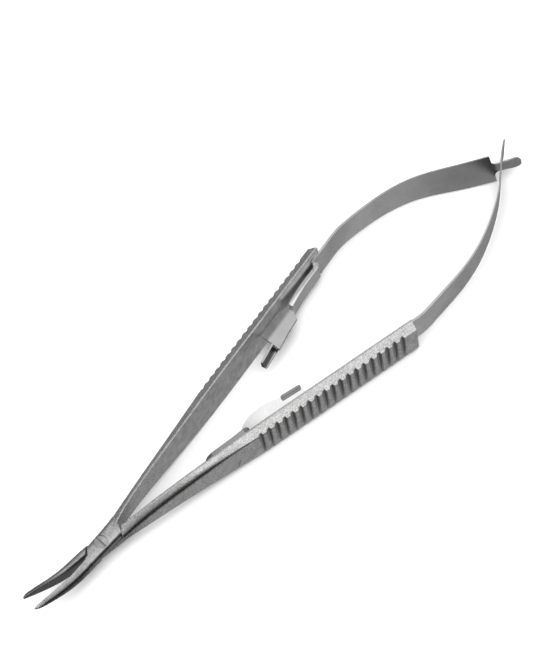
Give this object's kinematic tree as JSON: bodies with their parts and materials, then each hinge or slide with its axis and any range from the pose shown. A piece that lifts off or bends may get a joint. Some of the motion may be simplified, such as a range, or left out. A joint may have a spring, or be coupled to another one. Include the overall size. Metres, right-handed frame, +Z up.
{
  "type": "surgical needle holder",
  "caption": "Spring-handled surgical needle holder with curved jaws, a lap joint, grooved grips, crossed leaf springs at the tail and a finger-and-lip lock between the handles.",
  "frame": {"origin": "middle of the bounding box, on the plane that the handles rest on", "axes": "+X from the jaws to the leaf springs' tails, +Y from handle A to handle B, +Z up along the pivot screw, towards its slotted head"},
  "size_m": [0.1446, 0.032, 0.0088],
  "materials": {
    "blasted_steel": "satin",
    "spring_steel": "satin",
    "turned_steel": "satin",
    "polished_steel": "polished"
  },
  "bodies": {
    "body_a": {"half_a": "blasted_steel", "pivot_screw": "turned_steel", "leaf_spring_a": "spring_steel", "leaf_rivets_a": "turned_steel", "catch_rivet": "turned_steel"},
    "body_b": {"half_b": "blasted_steel", "leaf_spring_b": "spring_steel", "leaf_rivets_b": "turned_steel"},
    "lock": {"lock_spring": "polished_steel"},
    "catch": {"catch_plate": "polished_steel"}
  },
  "joints": [
    {"name": "jaw_pivot", "type": "hinge", "parent": "body_a", "child": "body_b", "pos_m": [-0.0532, 0, 0.0038], "axis": [0, 0, -1], "range_deg": [0, 9.1], "stiffness_Nm_per_rad": 0.9, "deforming": ["leaf_spring_a", "leaf_spring_b"]},
    {"name": "lock_flex", "type": "hinge", "parent": "body_b", "child": "lock", "pos_m": [0.02185, 0.0126, 0.00375], "axis": [0, 0, -1], "range_deg": [0, 1], "stiffness_Nm_per_rad": 0.05},
    {"name": "catch_flex", "type": "hinge", "parent": "body_a", "child": "catch", "pos_m": [-0.02507, -0.00515, 0.0064], "axis": [0.1799, 0.9837, 0], "range_deg": [0, 1], "stiffness_Nm_per_rad": 0.08}
  ]
}
